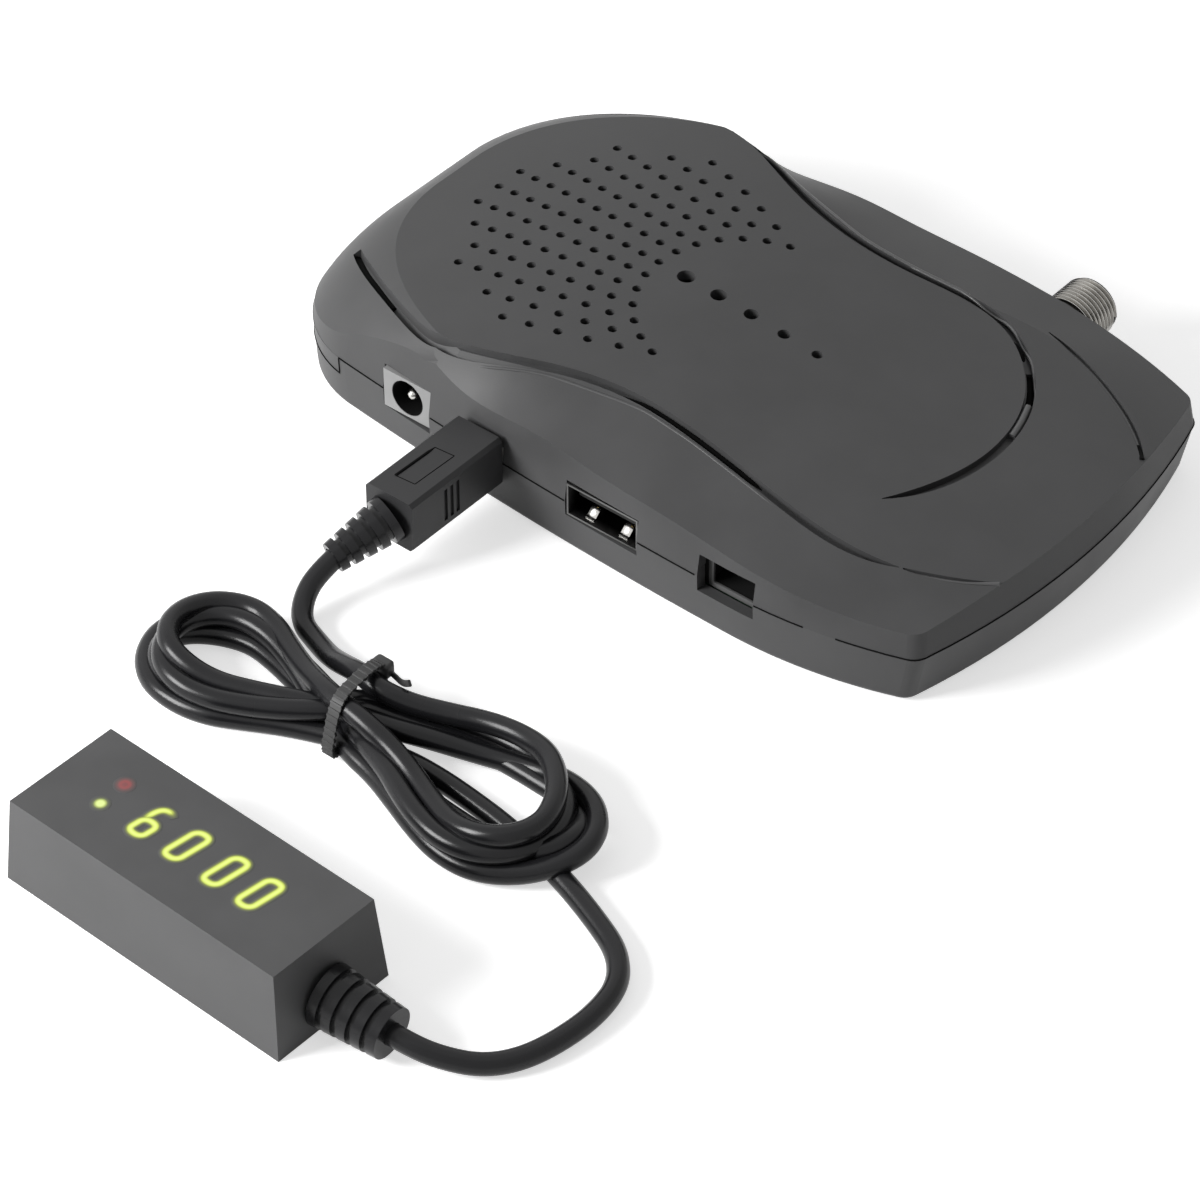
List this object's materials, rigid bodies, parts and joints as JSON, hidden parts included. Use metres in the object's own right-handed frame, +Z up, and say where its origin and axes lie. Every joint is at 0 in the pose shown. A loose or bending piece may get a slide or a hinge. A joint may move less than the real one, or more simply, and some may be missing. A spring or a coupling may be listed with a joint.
{
  "type": "satellite television receiver",
  "caption": "Palm-sized domed satellite receiver with a perforated top, a row of sockets, an aerial connector, and a lit number display in a small box on its own plug-in lead.",
  "frame": {"origin": "on the standing surface, under the middle of the receiver's casing", "axes": "+X along the receiver towards its blunt bowed end, -Y towards the side with the sockets and the display lead, +Z up"},
  "size_m": [0.1272, 0.1871, 0.0224],
  "materials": {
    "case_plastic": "fine satin texture",
    "unit_plastic": "fine satin texture",
    "cord_plastic": "soft satin",
    "foot_rubber": "matt",
    "black_plastic": "matt",
    "socket_face": "satin",
    "white_plastic": "satin",
    "circuit_board": "solder mask",
    "plated_steel": "bright plated",
    "nickel": "nickel plated",
    "gold_plate": "thin gold plate",
    "zinc_steel": "zinc plated",
    "black_aluminium": "black anodised",
    "chip_plastic": "moulded",
    "ferrite": "ground",
    "capacitor_sleeve": "shrunk sleeve",
    "display_black": "smoked",
    "lamp_green": "lit, clear",
    "lamp_red": "lit, clear",
    "eye_black": "dark filter"
  },
  "bodies": {
    "receiver": {"upper_casing": "case_plastic", "lower_casing": "case_plastic", "rubber_feet": "foot_rubber", "case_screws": "zinc_steel", "main_board": "circuit_board", "main_chip": "chip_plastic", "heat_sink": "black_aluminium", "memory_chip": "chip_plastic", "program_chip": "chip_plastic", "crystal": "plated_steel", "power_coil": "ferrite", "capacitors": "capacitor_sleeve", "regulators": "chip_plastic", "power_socket": "socket_face", "power_pin": "nickel", "power_contact": "plated_steel", "lead_socket_shell": "plated_steel", "lead_socket_tongue": "black_plastic", "host_socket_shell": "plated_steel", "host_socket_tongue": "black_plastic", "host_socket_contacts": "gold_plate", "service_socket": "black_plastic", "service_contacts": "gold_plate", "aerial_barrel": "nickel", "aerial_insulator": "white_plastic", "aerial_contact": "gold_plate", "tuner_can": "plated_steel", "video_socket_shell": "plated_steel", "video_socket_tongue": "black_plastic", "audio_video_jack": "black_plastic"},
    "display_lead": {"plug_grip": "cord_plastic", "plug_shell": "plated_steel", "plug_insert": "black_plastic", "plug_contacts": "gold_plate", "plug_sleeve": "cord_plastic", "cord_plug_run": "cord_plastic", "cord_bundle": "cord_plastic", "cord_display_run": "cord_plastic", "cord_tie": "cord_plastic", "display_housing": "unit_plastic", "display_base_plate": "unit_plastic", "display_board": "circuit_board", "digit_module": "display_black", "driver_chip": "chip_plastic", "infrared_eye": "eye_black", "green_lamp": "lamp_green", "red_lamp": "lamp_red", "display_sleeve": "cord_plastic"}
  },
  "joints": [
    {"name": "plug_pull", "type": "slide", "parent": "receiver", "child": "display_lead", "axis": [0, -1, 0], "range_m": [0, 0.01]}
  ]
}
